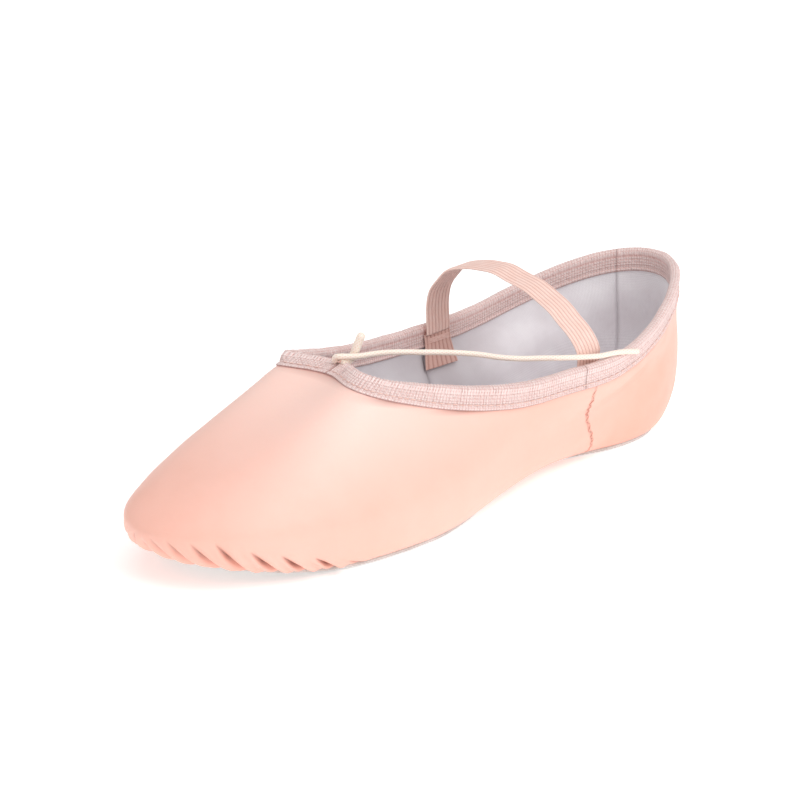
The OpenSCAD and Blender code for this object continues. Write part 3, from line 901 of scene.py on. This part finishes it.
def tape_piece(name, q0, q1, gathers):
    q = columns(q0, q1, 0.42, 0.42)
    outer, inner = tape_surface(q, TAPE_T, ROLL_OUT), tape_surface(q, 0.02, ROLL_IN)
    n = unit(outer - inner)
    run = run_along(upper_point(q, np.full_like(q, 2.0)))
    # w is the distance over the tape's face, and up the distance from its nearer edge.
    w = np.concatenate([np.linspace(0, 1, BAND_ROWS)*TAPE_H,
                        TAPE_H + np.linspace(0, 1, ROLL_ROWS + 2)[1:-1]*math.pi*ROLL_OUT,
                        TAPE_H + math.pi*ROLL_OUT + np.linspace(0, 1, BAND_ROWS)*TAPE_H])
    up = np.minimum(w, w[-1] - w)
    phase = run[:, None]/GATHER_PITCH + 0.45*wave(outer, 9, 41) + 0.25*wave(outer, 4, 42)
    much = gathers(q)[:, None]
    ripple = np.sin(2*math.pi*phase)
    body = smooth(1.4, 2.6, up) + 0.35*(1 - smooth(0.4, 1.6, up))
    relief = 0.11*much*ripple*body
    stitch_row = np.exp(-((up - STITCH_UP)/0.35)**2)
    relief -= 0.20*stitch_row
    relief += 0.14*np.exp(-((up - 0.7)/0.45)**2) - 0.12*np.exp(-(up/0.25)**2)
    relief += 0.06*wave(outer, 2.6, 43)*much + 0.10*wave(outer, 12, 44)
    outer = outer + n*relief[..., None]
    bulge = CORNER_BULGE*np.exp(-((q - CORNER)/CORNER_REACH)**2)[:, None]
    bulge = bulge*smooth(0.6, TAPE_H + 0.5, up)
    side = unit(outward(q, np.full_like(q, 1.9))*PLAN)[:, None]
    outer, inner = outer + bulge[..., None]*side, inner + bulge[..., None]*side
    fabric = points(run[:, None], w[None], 0.0)
    obj = closed_skin(name, outer, inner, fabric)
    # Painted shade on the tape's outer face: a line along its lower edge, the stitch row's groove,
    # its ends, and the troughs of the gathers; the inner face gets none.
    ends = np.minimum(run, run[-1] - run)[:, None]
    dark = (0.9*np.exp(-(up/0.2)**2) + 0.22*stitch_row + 0.6*np.exp(-(ends/0.35)**2)
            + 0.35*much*np.clip(-ripple, 0, 1)**2*smooth(1.4, 2.4, up))
    shade(obj, "painted_shade", np.concatenate([dark.ravel()*0.9, 0*dark.ravel()]))
    return obj


def throat_gathers(q):
    """How gathered the tape is: fully at the throat, and less along the sides."""
    return 0.35 + 0.65*(1 - smooth(0.35, 0.55, station_of(q)))


def heel_gathers(q):
    return np.full_like(q, 0.28)


for name, q0, q1, gathers, node in (
        ("tape_near", FRONT_GAP, NEAR_LAP, throat_gathers, "binding_near"),
        ("tape_far", BACK_SEAM, 2 - FRONT_GAP, throat_gathers, "binding_far"),
        ("tape_heel", NEAR_LAP, BACK_SEAM, heel_gathers, "binding_heel")):
    place(tape_piece(name, q0, q1, gathers), TAPE, "shoe", "binding_tape", node)


# ---------------------------------------------------------------- sole
# Section through the suede's rim, with the stitched groove: distance in from the edge and
# height, from the underside round the edge to the top.
PROFILE = [(13, 0), (10, 0), (7, 0), (5, 0), (4.2, 0), (3.7, 0.0), (3.5, 0.12), (3.4, 0.5),
           (3.0, 0.6), (2.6, 0.5), (2.5, 0.12), (2.3, 0.0), (1.6, 0), (0.9, 0), (0.45, 0.05),
           (0.15, 0.25), (0.0, 0.6), (0.0, 0.95), (0.15, 1.3), (0.45, 1.5), (2, 1.5), (6, 1.5),
           (13, 1.5)]
TOP_ROW = 17      # the profile's first point above the middle of the edge
SOLE_CROSS = 30   # points across the middle of the sole's two faces


def nap(p):
    """Height of the suede's nap over the plain surface, in mm."""
    return np.abs(0.05*wave(p, 1.1, 51) + 0.07*wave(p, 3.4, 52))


def sole_piece():
    q = np.concatenate([np.linspace(0, 1, 401), np.linspace(1, 2, 401)[1:-1]])
    s, side = station_of(q), np.where(q <= 1, 1.0, -1.0)
    rings = []
    for inset, z in PROFILE:
        p = sole_point(s, inset)*points(side, 1.0, 1.0)
        p[:, 2] += z - STACK0
        rings.append(p)
    grid = np.stack(rings, 1)
    n, m = grid.shape[:2]
    plain = grid.copy()
    fuzz = nap(grid)
    grid[..., 2] += np.where(np.arange(m)[None] < TOP_ROW, fuzz, -fuzz*0.3)
    edge = np.exp(-((np.arange(m) - (TOP_ROW - 0.5))/2)**2)[None]
    grid[..., 0] += 0.12*wave(grid, 1.7, 53)*edge
    faces = grid_faces(n, m, wrap_n=True)
    # The middle of each face: rows of points across, from the near side to the far side.
    half, verts, start = n//2, [grid.reshape(-1, 3)], n*m
    share = np.linspace(0, 1, SOLE_CROSS + 2)[1:-1, None]
    for column, turned in ((0, False), (m - 1, True)):
        lines = [[column]*(SOLE_CROSS + 2)]
        for i in range(1, half):
            inner = plain[i, column]*(1 - share) + plain[n - i, column]*share
            fuzz = nap(inner)
            inner[:, 2] += -0.3*fuzz if turned else fuzz
            verts.append(inner)
            lines.append([i*m + column, *range(start, start + SOLE_CROSS), (n - i)*m + column])
            start += SOLE_CROSS
        lines.append([half*m + column]*(SOLE_CROSS + 2))
        for low, high in zip(lines, lines[1:]):
            for k in range(SOLE_CROSS + 1):
                face = [low[k], high[k], high[k + 1], low[k + 1]]
                faces.append(face if turned else face[::-1])
    # At the toe and the heel a row shrinks to one point, and its faces lose a corner.
    faces = [list(dict.fromkeys(f)) for f in faces]
    faces = [f for f in faces if len(f) > 2]
    return add_mesh("suede_sole", np.concatenate(verts), faces)


place(sole_piece(), SUEDE, "shoe", "suede_sole", "suede_outsole")


# ---------------------------------------------------------------- strap
FAR_Y, NEAR_Y = 37, 43.8    # where the strap's two ends are sewn on
FAR_ANCHOR = np.array([-30.5, FAR_Y, ANCHOR_Z])
NEAR_ANCHOR = np.array([30.5, NEAR_Y, ANCHOR_Z])
SPAN = float(np.linalg.norm(NEAR_ANCHOR - FAR_ANCHOR))
SPAN_WAY = (NEAR_ANCHOR - FAR_ANCHOR)/SPAN
BACK_WAY = np.cross(UP, SPAN_WAY)
# The arch's line: distance along the span and height over the sewn ends.
ARCH = [[0, -5.5], [0, -2.5], [0, 0], [0, 5], [1.2, 9.9], [3.8, 13.9], [8.5, 18.2], [15.5, 20.6],
        [23.4, 21.2], [34.2, 19.3], [45.1, 15], [54, 8.6], [59.5, 3.5], [SPAN, 0], [SPAN, -2.5],
        [SPAN, -5.5]]
RIBS = 7
RIB_POINTS = 85   # points across the band


def ribbed(name, path, across, widths, thick, wander=0.0, extra_dark=0.0):
    """Ribbed elastic: a flat band along a path, across a direction, with ribs along it."""
    run = run_along(path)
    t = unit(np.gradient(path, axis=0))
    side = unit(across - t*(across*t).sum(-1, keepdims=True))
    face = np.cross(t, side)
    w = np.linspace(-1, 1, RIB_POINTS)
    rib = np.abs(np.cos(math.pi*RIBS*(w + 1)/2))**0.6
    rim = np.sqrt(np.clip(1 - np.abs(w)**14, 0, 1))
    half = thick/2*rim[None]*(1 - 0.42*(1 - rib))[None]*np.ones((len(path), 1))
    bend = wander*wave(path, 11, 61)[:, None]*np.ones((1, RIB_POINTS))
    x = widths[:, None]*w[None]/2
    base = path[:, None] + side[:, None]*x[..., None] + face[:, None]*bend[..., None]
    top = base + face[:, None]*half[..., None]
    low = base - face[:, None]*half[..., None]
    fabric = points(x, run[:, None], 0.0)
    obj = closed_skin(name, top, low, fabric)
    # Painted shade in the gaps between the ribs; the whole band is also darkened evenly by the
    # amount passed in.
    dark = extra_dark + (1 - rib)**1.5*np.ones((len(path), 1))
    shade(obj, "painted_shade", np.concatenate([dark.ravel(), dark.ravel()])*0.85)
    return obj


arch = spline([FAR_ANCHOR + SPAN_WAY*u + UP*h for u, h in ARCH], 0.45)
widths = np.full(len(arch), float(STRAP_W))
band = ribbed("elastic_band", arch, np.tile(BACK_WAY, (len(arch), 1)), widths, STRAP_T, 0.25)
band.data.materials.append(ELASTIC)
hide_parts("elastic_strap")
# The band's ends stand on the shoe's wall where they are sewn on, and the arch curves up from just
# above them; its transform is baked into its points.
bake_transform(band)

TAIL_X = 30.8
TAIL_LEN = 17
TAIL_GAP = 6.5
TAIL_LEAN = math.tan(math.radians(10))


def tail_piece(name, side, y, flare, curl, node):
    """Loose end of the strap: it hangs away from the wall, flared and curled at its cut end."""
    drops = np.linspace(TAIL_GAP - 0.8, TAIL_LEN, 6)
    away = (drops - TAIL_GAP)*TAIL_LEAN + curl*np.clip((drops - 10)/7, 0, 1)**2
    path = spline([[side*(TAIL_X - out), y, ANCHOR_Z - drop] for out, drop in zip(away, drops)],
                  0.35)
    wide = np.interp(np.linspace(0, 1, len(path)), [0, 0.3, 1],
                     [STRAP_W, STRAP_W, STRAP_W + flare])
    across = np.tile([0.0, 1.0, 0.0], (len(path), 1))
    place(ribbed(name, path, across, wide, STRAP_T*0.9, extra_dark=0.5), ELASTIC, "shoe",
          "strap_elastic", node)


tail_piece("tail_far", -1, FAR_Y, 3.2, 0.5, "strap_far_end")
tail_piece("tail_near", 1, NEAR_Y, 0.6, 0.0, "strap_near_end")


# ---------------------------------------------------------------- threads
THREAD_SIDES = 7
STITCH_PITCH = 3.0
SOLE_STITCHES = 84     # along each side
ZIGZAGS = 19
ZIGZAG_SWING = 0.0050  # to each side of the seam, in stations


def thread_mesh(name, runs, radius):
    """One mesh of many short threads. Each run is an array of points in mm."""
    verts, faces, start = [], [], 0
    for path in runs:
        _, u, w = frames(path)
        n = len(path)
        size = radius*np.sqrt(np.clip(1 - np.abs(np.linspace(-1, 1, n))**6, 0.12, 1))
        rings = path[:, None] + size[:, None, None]*circles(THREAD_SIDES, u, w)
        verts.append(rings.reshape(-1, 3))
        faces += tube_faces(n, THREAD_SIDES, start)
        start += n*THREAD_SIDES
    return add_mesh(name, np.concatenate(verts), faces)


def on_skin(qa, va, qb, vb, height, sag=0.25, n=9):
    """Points of a stitch from one place of the upper to another, its ends pulled in."""
    t = np.linspace(0, 1, n)
    q, v = qa + (qb - qa)*t, va + (vb - va)*t
    lift = height - sag*np.abs(2*t - 1)**4
    return upper_point(q, v) + outward(q, v)*lift[:, None]


def binding_runs():
    """Running stitches along the tape's lower edge."""
    runs = []
    q = np.linspace(SLIT, 2 - SLIT, 4001)
    run = run_along(upper_point(q, np.full_like(q, 1.8)))
    rise = STITCH_UP/TAPE_H
    for i in range(int(run[-1]/STITCH_PITCH)):
        a, b = np.interp([i*STITCH_PITCH + 0.5, i*STITCH_PITCH + 2.5], run, q)
        va, vb = (band_start(np.array([x]))[0] for x in (a, b))
        va, vb = va + rise*(2 - va), vb + rise*(2 - vb)
        runs.append(on_skin(a, va, b, vb, TAPE_T + 0.12))
    return runs


place(thread_mesh("binding_thread", binding_runs(), 0.17), THREAD, "shoe", "thread",
      "binding_stitches")


def zigzag_runs(spot):
    """Zigzag up a side seam, from above the sole to below the tape."""
    top = band_start(np.array([spot]))[0] - 0.03
    low = 0.30
    runs = []
    for i in range(ZIGZAGS):
        va, vb = (low + (top - low)*k/ZIGZAGS for k in (i, i + 1))
        a, b = (ZIGZAG_SWING, -ZIGZAG_SWING) if i % 2 else (-ZIGZAG_SWING, ZIGZAG_SWING)
        at_a, at_b = (float(seam_lean(spot, v)) for v in (va, vb))
        runs.append(on_skin(at_a + a, va, at_b + b, vb, 0.06, 0.3))
    return runs


place(thread_mesh("side_seam_thread", zigzag_runs(NEAR_SEAM), 0.13), SEAM_THREAD, "shoe", "thread",
      "near_seam_zigzag")
place(thread_mesh("back_seam_thread", zigzag_runs(BACK_SEAM), 0.14), SEAM_THREAD, "shoe", "thread",
      "back_seam_zigzag")


def tack_runs(side, y):
    """Bar tack: a block of close stitches across the strap's tail."""
    runs = []
    for i in range(5):
        drop = TAIL_GAP + 0.5 + 0.34*i
        t = np.linspace(-1, 1, 15)
        out = STRAP_T*0.45 + 0.12 - 0.25*np.abs(t)**6 + (drop - TAIL_GAP)*TAIL_LEAN
        runs.append(points(side*(TAIL_X - out), y + t*5.2, ANCHOR_Z - drop + 0.08*t))
    return runs


place(thread_mesh("near_tack_thread", tack_runs(1, NEAR_Y), 0.17), THREAD, "shoe", "thread",
      "strap_near_tack")
place(thread_mesh("far_tack_thread", tack_runs(-1, FAR_Y), 0.17), THREAD, "shoe", "thread",
      "strap_far_tack")


def sole_runs():
    """Stitches in the groove on the sole's underside."""
    runs = []
    for side in (-1.0, 1.0):
        for i in range(1, SOLE_STITCHES):
            s = np.linspace((i - 0.32)/SOLE_STITCHES, (i + 0.32)/SOLE_STITCHES, 7)
            p = sole_point(s, 3.0)*points(side + 0*s, 1.0, 1.0)
            p[:, 2] += 0.28 - STACK0 + 0.3*np.abs(np.linspace(-1, 1, 7))**4
            runs.append(p)
    return runs


place(thread_mesh("sole_thread", sole_runs(), 0.22), THREAD, "shoe", "thread", "sole_stitches")


def throat_runs():
    """Ring of thread where the two ends of the tape meet."""
    _, side, up, middle = (item[0] for item in frame_at(np.array([0.0])))
    n = unit(side + 0.15*up)
    u = np.array([1.0, 0, 0])
    w = np.cross(n, u)
    middle = middle + n*(ROLL_OUT + 0.3)
    runs = []
    for k, (radius, turn) in enumerate(((0.95, 0.2), (0.8, 1.1), (1.1, 2.3))):
        a = np.linspace(0, 2*math.pi*0.97, 33) + turn
        ring = (middle + np.outer(radius*np.cos(a), u) + np.outer(radius*0.9*np.sin(a), w)
                + np.outer(0.12*np.sin(2*a + k) + 0.1*k, n))
        runs.append(ring)
    return runs


place(thread_mesh("throat_thread", throat_runs(), 0.2), THREAD, "shoe", "thread", "throat_tack")


# ---------------------------------------------------------------- CAD pieces that stay
for node, finish in (("insole_board", BOARD), ("insole_foam", FOAM), ("sock_lining", COTTON),
                     ("drawstring_casing_cord", CORD)):
    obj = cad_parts[node]
    obj.data.materials.clear()
    obj.data.materials.append(finish)


# ---------------------------------------------------------------- floor, lights and world
REACH = 6.0    # half of the floor's width in metres
floor_mesh = bpy.data.meshes.new("floor")
floor_mesh.from_pydata([(-REACH, -REACH, 0), (REACH, -REACH, 0), (REACH, REACH, 0),
                        (-REACH, REACH, 0)], [], [(0, 1, 2, 3)])
floor = bpy.data.objects.new("floor", floor_mesh)
collection.objects.link(floor)
floor.data.materials.append(make_floor())
floor.location.z = -0.0002


def area_light(name, az, el, away, size, power):
    """Round light that faces the shoe. Degrees, metres and watts."""
    data = bpy.data.lights.new(name, "AREA")
    data.shape = "DISK"
    data.size = size
    data.energy = power
    obj = bpy.data.objects.new(name, data)
    collection.objects.link(obj)
    way = way_to(az, el)
    obj.location = target + way*away
    obj.rotation_euler = way.to_track_quat("Z", "Y").to_euler()


area_light("key", 95, 44, 1.5, 1.1, 8.4)
area_light("top", 40, 80, 1.4, 1.2, 3.5)
world = bpy.data.worlds.new("studio")
world.use_nodes = True
world.node_tree.nodes["Background"].inputs[0].default_value = (1, 1, 1, 1)
world.node_tree.nodes["Background"].inputs[1].default_value = 0.66
bpy.context.scene.world = world
bpy.context.scene.view_settings.view_transform = "Standard"
